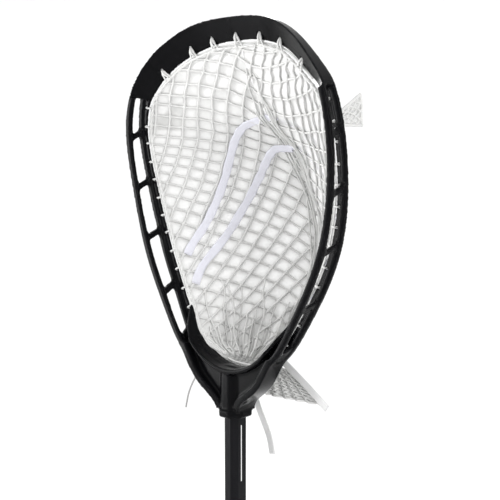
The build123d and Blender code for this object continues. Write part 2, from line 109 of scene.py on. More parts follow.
STRING_SHADE = 0.55                 # the string's loose end is darker than the net

# Stops of the two shooting laces: a place along the ribs and an angle from the middle.
LACE_STOPS = {
    "shooting_lace_lower": (
        (3.3, -77), (4.15, -63.5), (5.1, -54), (6.3, -44.5), (7.2, -35.5), (7.65, -27), (7.9, -14), (8.0, 0)),
    "shooting_lace_upper": (
        (2.5, -77), (3.7, -56.5), (5.15, -41), (5.95, -33), (6.55, -25), (6.85, -18), (6.9, -9), (6.9, 0)),
}

# The scoop's string holes from the middle to one side, in metres above the socket's mouth.
SCOOP_HOLES = (
    (0.0, 0.0023, 0.4420),
    (0.0374, 0.0014, 0.4399),
    (0.0701, -0.0013, 0.4311),
    (0.1100, -0.0109, 0.4065),
)

# The ball stop's ends run up into the sidewalls: x, front y, back y and height of each place.
STOP_BLEND = (
    (0.050, -0.0175, 0.0085, 0.0765),
    (0.0605, -0.0165, 0.0085, 0.0880),
    (0.0690, -0.0100, 0.0085, 0.1010),
    (0.0765, 0.0000, 0.0090, 0.1140),
    (0.0815, 0.0085, 0.0100, 0.1230),
)
BLEND_WALL = 0.0042
BLEND_LEAN = (0.75, -0.66)          # the way its thickness points, outwards and down

# The right half of the body between the throat's arms: x and height, and its front and back y.
FILLER_HALF = ((0.0155, 0.006), (0.026, 0.024), (0.040, 0.044), (0.056, 0.066), (0.060, 0.084),
               (0.047, 0.071), (0.030, 0.061), (0.0, 0.056))
FILLER_FRONT = -0.0105
FILLER_BACK = 0.010

FLOOR_FLAT = 3.5                    # the floor is flat out to this radius
RIM_RADIUS = 2.5                    # its rim curves up with this radius
SKY_LIGHT = 1.08

# Soft lights: name, place with z above the socket's mouth, size and power in watts.
LIGHTS = (
    ("key", (-0.9, -1.7, 1.4), (0.3, 0.3), 18),
    ("face", (-1.95, -1.5, 0.1), (1.0, 1.4), 34),
    ("side_strip", (1.6, -0.5, 0.6), (0.3, 1.4), 14),
    ("back_strip", (-1.2, 1.3, 0.8), (0.4, 1.2), 12),
)
LIGHT_AIM = (0.0, 0.0, 0.23)        # the lights look at this place above the socket's mouth
CAMERA_EYE = (0.7200, -0.7546, 0.3090)
CAMERA_AIM = (0.0128, 0.0118, 0.1957)
CAMERA_LENS = 65.2                  # focal length in mm on a 36 mm sensor

# Routes of the loose ends in metres, x and y as they are and z above the socket's mouth.
LACE_TAIL_RIGHT = (
    (0.045, 0.033, 0.066),
    (0.058, 0.0335, 0.058),
    (0.071, 0.0335, 0.049),
    (0.084, 0.0335, 0.0405),
    (0.098, 0.033, 0.031),
    (0.111, 0.033, 0.0215),
)
LACE_TAIL_BACK = (
    (-0.008, 0.03, 0.044),
    (-0.004, 0.032, 0.029),
    (0.002, 0.033, 0.015),
    (0.008, 0.033, 0.002),
    (0.015, 0.033, -0.011),
    (0.0225, 0.033, -0.024),
    (0.027, 0.033, -0.036),
    (0.0295, 0.033, -0.049),
)
STRING_TAIL_LEFT = (
    (-0.058, 0.013, 0.066),
    (-0.068, 0.018, 0.054),
    (-0.080, 0.022, 0.041),
    (-0.092, 0.025, 0.027),
    (-0.102, 0.026, 0.013),
    (-0.109, 0.026, -0.002),
    (-0.112, 0.0255, -0.018),
)


# ------------------------------------------------------------------------------ user's sizes
class StickSizes(bpy.types.PropertyGroup):
    """Sizes and colours that a user would change."""

    moulding_colour: bpy.props.FloatVectorProperty(
        name="Moulding", description="Colour of the moulded head", subtype="COLOR",
        size=3, min=0, max=1, default=(0.0025, 0.0025, 0.003))
    paint_colour: bpy.props.FloatVectorProperty(
        name="Paint", description="Colour of the handle's paint", subtype="COLOR",
        size=3, min=0, max=1, default=(0.005, 0.005, 0.006))
    net_colour: bpy.props.FloatVectorProperty(
        name="Net", description="Colour of the net's cord", subtype="COLOR",
        size=3, min=0, max=1, default=(0.71, 0.71, 0.70))
    lace_colour: bpy.props.FloatVectorProperty(
        name="Lace", description="Colour of the flat laces", subtype="COLOR",
        size=3, min=0, max=1, default=(0.74, 0.74, 0.81))
    net_edge: bpy.props.FloatProperty(
        name="Net edge", description="Length of one side of a diamond of the net",
        unit="LENGTH", min=0.008, max=0.04, default=0.0185)
    cord_radius: bpy.props.FloatProperty(
        name="Cord radius", description="Radius of the net's cord between two knots",
        unit="LENGTH", min=0.0004, max=0.003, default=0.00115)
    lace_width: bpy.props.FloatProperty(
        name="Lace width", description="Width of the flat laces",
        unit="LENGTH", min=0.004, max=0.015, default=0.009)
    moulding_voxel: bpy.props.FloatProperty(
        name="Moulding detail", description="Size of the steps that the head is remeshed with",
        unit="LENGTH", min=0.0005, max=0.004, default=0.0011)


# ------------------------------------------------------------------------------ shader maths
class Value:
    """A node's output that builds Math nodes when it is used in an expression."""

    def __init__(self, look, socket):
        self.look = look
        self.socket = socket

    def _maths(self, operation, first, second):
        return self.look.node("ShaderNodeMath", {"operation": operation}, {0: first, 1: second})

    def __add__(self, other):
        return self._maths("ADD", self, other)

    def __radd__(self, other):
        return self._maths("ADD", other, self)

    def __sub__(self, other):
        return self._maths("SUBTRACT", self, other)

    def __rsub__(self, other):
        return self._maths("SUBTRACT", other, self)

    def __mul__(self, other):
        return self._maths("MULTIPLY", self, other)

    def __rmul__(self, other):
        return self._maths("MULTIPLY", other, self)

    def __lt__(self, other):
        return self._maths("LESS_THAN", self, other)

    def __gt__(self, other):
        return self._maths("GREATER_THAN", self, other)


class Look:
    """One material and the nodes behind it."""

    def __init__(self, name, **constants):
        self.material = bpy.data.materials.new(name)
        self.material.use_nodes = True
        self.tree = self.material.node_tree
        self.shader = next(n for n in self.tree.nodes if n.type == "BSDF_PRINCIPLED")
        for socket, number in constants.items():
            self.shader.inputs[socket.replace("_", " ")].default_value = number

    def node(self, kind, settings=None, inputs=None, out=0):
        """Adds a node: its settings first, then the values or links of its sockets."""
        made = self.tree.nodes.new(kind)
        for key, setting in (settings or {}).items():
            setattr(made, key, setting)
        for key, given in (inputs or {}).items():
            self.feed(made.inputs[key], given)
        return Value(self, made.outputs[out])

    def feed(self, socket, given):
        """Links a value to a socket or sets it."""
        if isinstance(given, Value):
            self.tree.links.new(given.socket, socket)
        else:
            socket.default_value = given

    def noise(self, scale, detail=3.0, where=None):
        """Soft noise over the object's own space."""
        inputs = {"Vector": where or self.place(), "Scale": scale, "Detail": detail, "Roughness": NOISE_GRIT}
        return self.node("ShaderNodeTexNoise", {}, inputs)

    def place(self):
        """The point in the object's own space."""
        return self.node("ShaderNodeTexCoord", out="Object")

    def parts(self, vector):
        """The three parts of a vector."""
        split = self.node("ShaderNodeSeparateXYZ", {}, {0: vector})
        return [Value(self, output) for output in split.socket.node.outputs]

    def weave(self):
        """Where a point lies in its cloth: along, around and across a cord, or in a cell of the net."""
        return self.parts(self.node("ShaderNodeAttribute", {"attribute_name": "weave"}, out="Vector"))

    def blend(self, factor, first, second):
        """Mixes two colours."""
        return self.node("ShaderNodeMix", {"data_type": "RGBA"}, {0: factor, 6: first, 7: second}, out=2)

    def size_of(self, value):
        """A value without its sign."""
        return self.node("ShaderNodeMath", {"operation": "ABSOLUTE"}, {0: value})

    def sine(self, value):
        """The sine of a value."""
        return self.node("ShaderNodeMath", {"operation": "SINE"}, {0: value})

    def fraction(self, value):
        """What is left of a value after its whole part."""
        return self.node("ShaderNodeMath", {"operation": "FRACT"}, {0: value})

    def relief(self, height, distance, strength=1.0):
        """Raises the surface by a height pattern."""
        inputs = {"Height": height, "Distance": distance, "Strength": strength}
        self.set("Normal", self.node("ShaderNodeBump", {}, inputs))

    def set(self, socket, given):
        """Feeds one of the shader's own sockets."""
        self.feed(self.shader.inputs[socket], given)


def colour(rgb, gain=1.0):
    """A colour with its alpha, brightened or darkened."""
    return (*[min(1.0, part * gain) for part in rgb], 1.0)


def moulded_nylon(sizes):
    """Glossy injection-moulded nylon: faint flow marks, fine skin and rubbed edges."""
    look = Look("moulded_nylon", Specular_IOR_Level=0.05)
    flow = look.noise(9.0, 4.0)
    skin = look.noise(900.0, 2.0)
    rubbed = look.node("ShaderNodeNewGeometry", out="Pointiness")
    edge = look.node("ShaderNodeMapRange", {}, {0: rubbed, 1: 0.52, 2: 0.62, 3: 0.0, 4: 1.0})
    scuffs = look.noise(60.0, 6.0) > 0.52
    worn = edge * (scuffs * 0.6 + 0.25)
    base = look.blend(flow, colour(sizes.moulding_colour, 0.75), colour(sizes.moulding_colour, 1.6))
    look.set("Base Color", look.blend(worn * 0.35, base, (0.03, 0.03, 0.032, 1.0)))
    look.set("Roughness", 0.11 + flow * 0.12 + skin * 0.05 + worn * 0.15)
    look.relief(skin * 0.6 + flow * 1.5, 0.00012, 0.55)
    return look.material


def handle_paint(sizes):
    """Satin paint over drawn alloy, with a plain pale stripe on one facet."""
    look = Look("handle_paint", Specular_IOR_Level=0.09)
    x, y, z = look.parts(look.place())
    drawn = look.node("ShaderNodeCombineXYZ", {}, {0: x * 900.0, 1: y * 900.0, 2: z * 6.0})
    grain = look.noise(1.0, 3.0, where=drawn)
    cloud = look.noise(14.0, 3.0)
    line = (x > STRIPE_FACET) * (y > STRIPE_EDGES[0]) * (y < STRIPE_EDGES[1])
    span = (z > HEAD_BASE + STRIPE_ENDS[0]) * (z < HEAD_BASE + STRIPE_ENDS[1])
    stripe = line * span
    base = look.blend(grain, colour(sizes.paint_colour, 0.8), colour(sizes.paint_colour, 1.5))
    look.set("Base Color", look.blend(stripe, base, (0.72, 0.72, 0.72, 1.0)))
    look.set("Roughness", 0.3 + grain * 0.14 + cloud * 0.08)
    look.set("Metallic", 0.25 - stripe * 0.25)
    look.relief(grain, 0.00004, 0.5)
    return look.material


def cap_rubber():
    """Matt rubber with a dusty skin."""
    look = Look("cap_rubber", Specular_IOR_Level=0.4)
    dust = look.noise(70.0, 5.0)
    skin = look.noise(1600.0, 2.0)
    look.set("Base Color", look.blend(dust, (0.012, 0.012, 0.012, 1.0), (0.035, 0.035, 0.034, 1.0)))
    look.set("Roughness", 0.62 + dust * 0.2)
    look.relief(skin + dust * 2.0, 0.0001, 0.6)
    return look.material


def blackened_steel():
    """Screw steel: dark, with bright wear."""
    look = Look("blackened_steel", Metallic=1.0)
    wear = look.noise(900.0, 3.0)
    look.set("Base Color", look.blend(wear, (0.10, 0.10, 0.11, 1.0), (0.34, 0.34, 0.35, 1.0)))
    look.set("Roughness", 0.28 + wear * 0.22)
    look.relief(wear, 0.00005, 0.5)
    return look.material


def braided_cord(name, shade):
    """Braided white cord: plaits slanting both ways round the cord, with soft fibres."""
    look = Look(name, Specular_IOR_Level=0.3, Sheen_Weight=0.06, Sheen_Roughness=0.4)
    along, around, _ = look.weave()
    turn = around * (2 * math.pi)
    plait = look.sine(along * PLAITS + turn) * look.sine(along * PLAITS - turn)
    fibre = look.noise(2200.0, 3.0)
    grey = look.noise(24.0, 3.0)
    shadow = (plait * 0.5 + 0.5) * 0.7 + fibre * 0.3
    pale = look.blend(grey, colour(shade, 0.94), colour(shade, 1.03))
    look.set("Base Color", look.blend(shadow, colour(shade, 0.80), pale))
    look.set("Roughness", 0.72 + fibre * 0.15)
    look.relief(plait + fibre * 0.6, 0.00022, 0.8)
    return look.material


def knitted_cord(name, shade):
    """Cord whose own solid has no weave directions: a fine lumpy knit, with painted shade in the hollows
    between its lumps.
    """
    look = Look(name, Specular_IOR_Level=0.3, Sheen_Weight=0.06, Sheen_Roughness=0.4)
    cells = look.node("ShaderNodeTexVoronoi", {}, {"Vector": look.place(), "Scale": 1100.0})
    fibre = look.noise(2600.0, 3.0)
    # painted shade: the knit's hollows between the lumps are darker and the lumps lighter
    look.set("Base Color", look.blend(cells * 1.2, colour(shade, 1.03), colour(shade, 0.78)))
    look.set("Roughness", 0.72 + fibre * 0.15)
    look.relief(1.0 - cells + fibre * 0.4, 0.0002, 0.8)
    return look.material


def fibre_fuzz(sizes, gain=1.0):
    """Loose grey-white fibre with painted shadow halos, thick and darker beside each cord and thinner and
    lighter in the middle of each cell; a gain below 1 darkens it all as painted shade.
    """
    look = Look("fibre_fuzz", Specular_IOR_Level=0.1, Roughness=0.9)
    row, column, bunched = look.weave()
    beside_row = look.size_of(look.fraction(row) - CELL_MIDDLE[0])
    beside_column = look.size_of(look.fraction(column) - CELL_MIDDLE[1])
    beside = {0: beside_row, 1: beside_column, 2: 0.2}
    close = look.node("ShaderNodeMath", {"operation": "SMOOTH_MAX"}, beside)
    cloud = look.noise(45.0, 3.0)
    wisps = look.noise(600.0, 4.0)
    thick = look.node("ShaderNodeMapRange", {"interpolation_type": "SMOOTHSTEP"}, {0: close, 1: 0.12, 2: 0.5})
    loose = (0.42 + thick * 0.42) * (0.75 + cloud * 0.5)
    look.set("Alpha", loose + bunched * (0.9 - loose))
    # painted shade: the sheet is grey beside each cord and lighter in the middle of each cell, a painted
    # shadow halo
    painted_halo_shade = look.blend(thick, colour(sizes.net_colour, 1.04), colour(sizes.net_colour, 0.7 * gain))
    painted_halo_shade_and_wisps = look.blend(wisps * 0.4, painted_halo_shade, colour(sizes.net_colour, 0.85 * gain))
    pressed = look.blend(wisps, colour(sizes.net_colour, 0.76 * gain), colour(sizes.net_colour, 1.02 * gain))
    look.set("Base Color", look.blend(bunched, painted_halo_shade_and_wisps, pressed))
    look.relief(wisps, 0.0002, 0.5)
    return look.material


def woven_lace(sizes, shade=None):
    """Flat woven lace: fine ribs that lean both ways from its middle line, with painted shade in the troughs
    between them.
    """
    look = Look("woven_lace", Specular_IOR_Level=0.35, Sheen_Weight=0.06, Sheen_Roughness=0.4)
    along, _, across = look.weave()
    ribs = look.sine((along + look.size_of(across) * 0.7) * LACE_RIBS)
    fibre = look.noise(2400.0, 3.0)
    # painted shade: the troughs between the ribs are darker and the ribs lighter
    face = (ribs * 0.5 + 0.5) * 0.65 + fibre * 0.35
    shade = shade or sizes.lace_colour
    look.set("Base Color", look.blend(face, colour(shade, 0.82), colour(shade, 1.05)))
    look.set("Roughness", 0.6 + fibre * 0.15)
    look.relief(ribs * 0.8 + fibre * 0.6, 0.00018, 0.8)
    return look.material


# ------------------------------------------------------------------------------ mesh builders
def above_socket(place):
    """A place whose z is counted from the socket's mouth."""
    return Vector((place[0], place[1], HEAD_BASE + place[2]))


def unit(vectors):
    """Vectors along the last axis at length 1."""
    size = np.linalg.norm(vectors, axis=-1, keepdims=True)
    return vectors / np.maximum(size, 1e-12)


def smooth_line(stops, steps):
    """A Catmull-Rom line through the stops, whose last axis may hold any numbers."""
    stops = np.asarray(stops, float)
    ends = np.vstack([2 * stops[0] - stops[1], stops, 2 * stops[-1] - stops[-2]])
    line = []
    for k in range(1, len(ends) - 2):
        a, b, c, d = ends[k - 1:k + 3]
        for t in np.arange(steps) / steps:
            line.append(0.5 * (2 * b + (c - a) * t + (2 * a - 5 * b + 4 * c - d) * t ** 2
                               + (3 * b - a - 3 * c + d) * t ** 3))
    line.append(stops[-1])
    return np.array(line)


def smooth_piece(name, points, faces, material):
    """A smooth-shaded object made of points and faces."""
    mesh = bpy.data.meshes.new(name)
    mesh.from_pydata(points, [], faces)
    mesh.polygons.foreach_set("use_smooth", [True] * len(mesh.polygons))
    mesh.materials.append(material)
    made = bpy.data.objects.new(name, mesh)
    bpy.context.scene.collection.objects.link(made)
    return made


def cloth(name, points, faces, weave, material):
    """A smooth-shaded object whose points know their place in the weave."""
    made = smooth_piece(name, points.tolist(), faces, material)
    stored = made.data.attributes.new("weave", "FLOAT_VECTOR", "POINT")
    stored.data.foreach_set("vector", weave.ravel())
    return made


def sheet_faces(rows, columns, first):
    """The four-sided faces of a sheet of rows by columns of points, the first of them numbered first."""
    return [(low, low + 1, low + columns + 1, low + columns)
            for r in range(rows - 1) for low in range(first + r * columns, first + (r + 1) * columns - 1)]


def run_along(line):
    """How far along a line each of its points lies."""
    return np.concatenate([[0], np.cumsum(np.linalg.norm(np.diff(line, axis=0), axis=1))])


class Strands:
    """Collects tubes and bands in one mesh, with each point's place on its cord."""

    def __init__(self):
        self.points = []
        self.faces = []
        self.weave = []
        self.count = 0

    def _rings(self, rings, places):
        """Joins rings of points into one closed tube."""
        many, sides = rings.shape[:2]
        self.points.append(rings.reshape(-1, 3))
        self.weave.append(places.reshape(-1, 3))
        first = self.count
        for k in range(many - 1):
            low = first + k * sides
            for s in range(sides):
                t = (s + 1) % sides
                self.faces.append((low + s, low + t, low + sides + t, low + sides + s))
        self.faces.append(tuple(first + s for s in reversed(range(sides))))
        last = first + (many - 1) * sides
        self.faces.append(tuple(last + s for s in range(sides)))
        self.count += many * sides

    def tube(self, line, radius, sides=7):
        """A round cord along a line; radius is one number or one for each point."""
        line = np.asarray(line, float)
        radius = np.broadcast_to(radius, len(line))
        ahead = unit(np.gradient(line, axis=0))
        out = unit(np.cross(ahead[0], (0.31, 0.54, 0.78)))
        travelled = run_along(line)
        turns = np.arange(sides) / sides
        cosines, sines = np.cos(2 * np.pi * turns), np.sin(2 * np.pi * turns)
        rings = np.zeros((len(line), sides, 3))
        places = np.zeros((len(line), sides, 3))
        for k in range(len(line)):
            out = unit(out - ahead[k] * np.dot(out, ahead[k]))
            side = np.cross(ahead[k], out)
            rings[k] = line[k] + radius[k] * (np.outer(cosines, out) + np.outer(sines, side))
            places[k, :, 0] = travelled[k]
            places[k, :, 1] = turns
        self._rings(rings, places)

    def band(self, line, off, width, thick):
        """A flat lace along a line whose face looks along off."""
        line = np.asarray(line, float)
        ahead = unit(np.gradient(line, axis=0))
        off = unit(off - ahead * np.sum(off * ahead, axis=1, keepdims=True))
        side = np.cross(off, ahead)
        width = np.broadcast_to(width, len(line))
        travelled = run_along(line)
        outline = [(-0.5, 0.0), (-0.47, 0.38), (-0.30, 0.5), (0.0, 0.42), (0.30, 0.5), (0.47, 0.38),
                   (0.5, 0.0), (0.47, -0.38), (0.30, -0.5), (0.0, -0.42), (-0.30, -0.5), (-0.47, -0.38)]
        rings = np.zeros((len(line), len(outline), 3))
        places = np.zeros((len(line), len(outline), 3))
        for s, (across, up) in enumerate(outline):
            rings[:, s] = line + side * (across * width)[:, None] + off * up * thick
            places[:, s, 0] = travelled
            places[:, s, 2] = across * width
        self._rings(rings, places)

    def piece(self, name, material):
        """The collected mesh as one smooth-shaded object."""
        return cloth(name, np.concatenate(self.points), self.faces, np.concatenate(self.weave), material)


def dress(node, material):
    """Gives a CAD node its material."""
    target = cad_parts[node]
    target.data.materials.clear()
    target.data.materials.append(material)


def ease(value, low, high):
    """0 below low, 1 above high and a smooth step between them."""
    share = np.clip((value - low) / (high - low), 0.0, 1.0)
    return share * share * (3 - 2 * share)


# ------------------------------------------------------------------------------ the pocket
class Pocket:
    """The pocket's smooth surface.

    A point is found by its distance across from the middle line and its climb up the side,
    as if each half of the pocket were laid flat.
    """

    rows_each = 6
    columns = 36
    gather_width = 0.120        # half the net's flat width where it is gathered at the throat
    pleat_height = 2.6 * MM
    swell_height = 1.6 * MM

    def __init__(self):
        ribs = smooth_line(np.array(POCKET_RIBS) * MM, self.rows_each)
        self.grid = np.array([self._half_curve(rib) for rib in ribs])
        steps = np.linalg.norm(np.diff(self.grid, axis=1), axis=2)
        self.half = steps.sum(axis=1)
        self.climb = run_along(self.grid[:, self.columns // 2])
        self.tall = self.climb[-1]
        self.normals = unit(np.cross(np.gradient(self.grid, axis=1), np.gradient(self.grid, axis=0)))

    def _half_curve(self, rib, lift=1.5 * MM):
        """The right half of a rib at even steps from its middle to its edge."""
        half, edge_y, edge_z, deep_y, deep_z = rib
        angles = np.radians(np.linspace(0, 90, 160))
        share = 2 / POCKET_POWER
        across = (half - lift) * np.sin(angles) ** share
        back = np.array([deep_y - edge_y, deep_z - edge_z])
        deep = np.linalg.norm(back)
        down = (deep - lift) / deep * np.clip(np.cos(angles), 0, 1) ** share
        curve = np.stack([across, edge_y + back[0] * down, HEAD_BASE + edge_z + back[1] * down], axis=1)
        run = run_along(curve)
        even = np.linspace(0, run[-1], self.columns + 1)
        return np.stack([np.interp(even, run, curve[:, k]) for k in range(3)], axis=1)

    def width(self, climb):
        """How wide half the net is laid flat at this height; it is gathered near the throat."""
        rows = np.interp(climb, self.climb, np.arange(len(self.climb)))
        half = np.interp(rows, np.arange(len(self.half)), self.half)
        low = self.climb[self.rows_each * 4]
        return np.where(climb < low, np.maximum(half, self.gather_width), half)

    def at(self, across, climb, side, lift=0.0):
        """Points of the pocket's right (side 1) or left (side -1) half, lifted inwards."""
        climb = np.clip(climb, 0, self.tall)
        share = np.clip(across / self.width(climb), 0, 1) * self.columns
        row = np.interp(climb, self.climb, np.arange(len(self.climb)))
        point = self._mix(self.grid, row, share)
        normal = unit(self._mix(self.normals, row, share))
        pleats = self.pleat_height * np.sin(share * 1.15 + 0.6 * np.sin(row * 0.8))
        pleats = pleats * (1 - ease(climb, 0.03, 0.13))
        swell = self.swell_height * np.sin(row * 0.55 + share * 0.35 + side) * np.sin(share * 0.23 + 1.3)
        fade = ease(self.columns - share, 0.0, 5.0)
        offset = (pleats + swell) * fade + lift
        point = point + normal * np.asarray(offset)[..., None]
        point = point * np.array([side, 1, 1])
        return point, normal * np.array([side, 1, 1])

    def _mix(self, table, row, share):
        row = np.clip(row, 0, table.shape[0] - 1.001)
        share = np.clip(share, 0, table.shape[1] - 1.001)
        r, s = row.astype(int), share.astype(int)
        u, v = (row - r)[..., None], (share - s)[..., None]
        low = table[r, s] * (1 - v) + table[r, s + 1] * v
        high = table[r + 1, s] * (1 - v) + table[r + 1, s + 1] * v
        return low * (1 - u) + high * u

    def rib_point(self, station, angle, lift):
        """A point at a place along the ribs and an angle from the middle."""
        ribs = np.array(POCKET_RIBS) * MM
        rib = np.array([np.interp(station, np.arange(len(ribs)), ribs[:, k]) for k in range(5)])
        share = 2 / POCKET_POWER
        turn = math.radians(abs(angle))
        side = 1 if angle >= 0 else -1
        back = np.array([rib[3] - rib[1], rib[4] - rib[2]])
        deep = np.linalg.norm(back)
        down = (deep - lift) / deep * max(math.cos(turn), 0) ** share
        return np.array([side * (rib[0] - lift) * math.sin(turn) ** share,
                         rib[1] + back[0] * down, HEAD_BASE + rib[2] + back[1] * down])

    def rib_normal(self, station, angle, lift):
        """The way that faces into the pocket at a place along the ribs and an angle from the middle."""
        across = self.rib_point(station, angle + 2, lift) - self.rib_point(station, angle - 2, lift)
        up = self.rib_point(station + 0.1, angle, lift) - self.rib_point(station - 0.1, angle, lift)
        return unit(np.cross(across, up))


def net_sag(pocket, across, climb):
    """How far down the net hangs from its straight lattice; across is negative on the left."""
    shear = TOP_SHEAR * ease(climb, pocket.tall * 0.45, pocket.tall)
    fold = np.exp(-np.abs(across) / 0.035)
    return MIDDLE_SAG * np.where(across < 0, fold, 2 - fold) - shear * (across + 0.03)


def net_knots(pocket, edge):
    """The net's knots laid flat: rows by columns of across and climb."""
    count = int(NET_REACH / edge)
    i, j = np.meshgrid(np.arange(-count, count), np.arange(-count, count), indexing="ij")
    across = NET_START[0] + edge * (math.cos(ROW_SLANT) * i + math.cos(COLUMN_SLANT) * j)
    climb = NET_START[1] - edge * (math.sin(ROW_SLANT) * i - math.sin(COLUMN_SLANT) * j)
    wobble = np.random.default_rng(11).normal(size=(2,) + across.shape) * 0.6 * MM
    return across + wobble[0], climb + wobble[1] - net_sag(pocket, across, climb)


def net_cell(pocket, edge, across, climb):
    """Which cell of the lattice a flat point lies in, counted along the rows and the columns."""
    straight = climb
    for _ in range(12):
        straight = climb + net_sag(pocket, across, straight)
    x = (across - NET_START[0]) / edge
    z = (NET_START[1] - straight) / edge
    turn = math.sin(ROW_SLANT + COLUMN_SLANT)
    return ((x * math.sin(COLUMN_SLANT) + z * math.cos(COLUMN_SLANT)) / turn,
            (x * math.sin(ROW_SLANT) - z * math.cos(ROW_SLANT)) / turn)


def inside_runs(across, climb, pocket):
    """Cuts a line of knots at the pocket's outline and yields each stretch inside it."""
    fine = np.arange(0, len(across) - 1 + 1e-6, 0.125)
    x = np.interp(fine, np.arange(len(across)), across)
    y = np.interp(fine, np.arange(len(climb)), climb)
    inside = (np.abs(x) <= pocket.width(y)) & (y >= 0) & (y <= pocket.tall)
    start = None
    for k in range(len(fine) + 1):
        here = k < len(fine) and inside[k]
        if here and start is None:
            start = k
        if not here and start is not None:
            if k - start > 3:
                yield fine[start:k], x[start:k], y[start:k]
            start = None


def net_cords(strands, pocket, sizes):
    """Both families of the net's cords, thicker where they cross."""
    across, climb = net_knots(pocket, sizes.net_edge)
    draw = np.random.default_rng(12)
    for turned in (False, True):
        a = across.T if turned else across
        c = climb.T if turned else climb
        for k in range(a.shape[1]):
            for places, x, y in inside_runs(a[:, k], c[:, k], pocket):
                from_knot = np.abs(places - np.round(places)) * sizes.net_edge
                radius = sizes.cord_radius * (1 + 0.55 * np.exp(-(from_knot / (2.4 * MM)) ** 2))
                slack = np.sin(places * math.pi) ** 2 * draw.uniform(0.0, 0.9) * MM
                slack = slack + (0.35 * MM if turned else -0.35 * MM)
                left, _ = pocket.at(np.abs(x), y, -1, slack)
                right, _ = pocket.at(np.abs(x), y, 1, slack)
                strands.tube(np.where((x < 0)[:, None], left, right), radius, 6)


def net_border(strands, pocket, sizes):
    """The doubled cord all round the net's edge."""
    rows = np.linspace(0, pocket.tall, 150)
    for side in (-1, 1):
        for phase in (0.0, math.pi):
            edge = pocket.width(rows) - (1.2 + 0.9 * np.sin(rows * 420 + phase)) * MM
            line, _ = pocket.at(edge, rows, side, 0.9 * MM * np.cos(rows * 420 + phase))
            strands.tube(line, sizes.cord_radius * 1.15)
    for climb in (pocket.tall, 0.0):
        for phase in (0.0, math.pi):
            half = np.linspace(0, pocket.width(np.array(climb)), 24)
            right, _ = pocket.at(half, np.full(24, climb), 1, 0.8 * MM * np.cos(half * 500 + phase))
            left, _ = pocket.at(half, np.full(24, climb), -1, 0.8 * MM * np.cos(half * 500 + phase))
            strands.tube(np.vstack([left[:0:-1], right]), sizes.cord_radius * 1.2)


def net_gathers(strands, pocket, sizes):
    """The slack cords bunched along the pocket's middle fold."""
    draw = np.random.default_rng(3)
    for k in range(9):
        side = -1 if k % 2 else 1
        low, high = draw.uniform(0.05, 0.16), draw.uniform(0.78, 0.96)
        rows = np.linspace(low, high, 70) * pocket.tall
        across = (draw.uniform(1, 11) + draw.uniform(1.5, 4) * np.sin(rows * draw.uniform(25, 60) + k)) * MM
        line, _ = pocket.at(np.abs(across), rows, side, draw.uniform(0.5, 2.2) * MM)
        strands.tube(line, sizes.cord_radius, 6)


def net_pleats(strands, pocket, sizes):
    """The cords drawn together in upright folds above the throat."""
    draw = np.random.default_rng(14)
    for side in (-1, 1):
        for start in np.arange(0.03, 1.0, 0.055):
            rows = np.linspace(0, draw.uniform(0.045, 0.12), 36)
            lean = draw.uniform(-0.05, 0.05) * rows / 0.1
            wander = lean + 0.012 * np.sin(rows * draw.uniform(60, 120) + start * 9)
            across = np.clip(start + wander, 0, 0.985) * pocket.width(rows)
            line, _ = pocket.at(across, rows, side, draw.uniform(0.2, 2.4) * MM)
            strands.tube(line, sizes.cord_radius * draw.uniform(0.8, 1.05), 6)


def net_ties(strands, pocket, sizes):
    """Two cords splaying from each hole of the scoop to the net's edge."""
    for side in (-1, 1):
        edge = np.vstack([pocket.grid[:, -1], pocket.grid[-1, ::-1]]) * np.array([side, 1, 1])
        edge = smooth_line(edge[::2], 6)
        run = run_along(edge)
        for hole in SCOOP_HOLES:
            if side > 0 and hole[0] == 0:
                continue
            start = np.array([side * hole[0], hole[1], HEAD_BASE + hole[2]])
            nearest = run[np.argmin(np.linalg.norm(edge - start, axis=1))]
            for reach in (-TIE_SPLAY, TIE_SPLAY):
                mirrored = hole[0] == 0 and reach > 0
                place = nearest - reach if mirrored else nearest + reach
                stop = np.array([np.interp(place, run, edge[:, k]) for k in range(3)])
                stop[0] = -stop[0] if mirrored else stop[0]
                middle = (start + stop) / 2 + np.array([0, -1.6 * MM, 0])
                line = smooth_line([start, middle, stop], 6)
                knot = 1.5 - 0.55 * ease(np.linspace(0, 1, len(line)), 0.4, 0.6)
                strands.tube(line, sizes.cord_radius * knot, 7)


def net_hem(strands, pocket, sizes):
    """The net's doubled lower hem, tucked down behind the ball stop."""
    half = np.vstack([pocket.grid[0], pocket.grid[1:14, -1]])
    whole = np.vstack([half[:0:-1] * (-1, 1, 1), half])
    for depth in HEM_DEPTHS:
        wave = 0.9 * MM * np.sin(np.arange(len(whole)) * 1.3 + depth * 900)
        line = whole - np.stack([whole[:, 0] * depth * 6, wave, np.full(len(whole), depth)], axis=1)
        strands.tube(line, sizes.cord_radius * 1.25, 6)


def net_fibre_and_painted_shade(name, pocket, sizes):
    """The loose fibre and painted shadow halos round the net's cords: one thin skin behind the net that knows
    its cell.
    """
    points, faces, cells = [], [], []
    rows, columns = pocket.grid.shape[:2]
    for side in (-1, 1):
        first = len(points) * rows * columns
        climb = np.repeat(pocket.climb[:, None], columns, axis=1)
        across = np.linspace(0, 1, columns)[None] * pocket.width(pocket.climb)[:, None]
        skin, _ = pocket.at(across, climb, side, -1.0 * MM)
        points.append(skin.reshape(-1, 3))
        i, j = net_cell(pocket, sizes.net_edge, across * side, climb)
        bunched = np.maximum(1 - ease(climb, *THROAT_GATHER), 0.55 * (1 - ease(across, *MIDDLE_GATHER)))
        from_edge = np.minimum(pocket.width(climb) - across, pocket.tall - climb)
        bunched = np.maximum(bunched, 0.75 * (1 - ease(from_edge, *EDGE_GATHER)))
        bunched = np.maximum(bunched, 0.45 * ease(climb, 0.42 * pocket.tall, 0.8 * pocket.tall))
        cells.append(np.stack([i, j, bunched], axis=2).reshape(-1, 3))
        faces += sheet_faces(rows, columns, first)
    return cloth(name, np.concatenate(points), faces, np.concatenate(cells), fibre_fuzz(sizes))


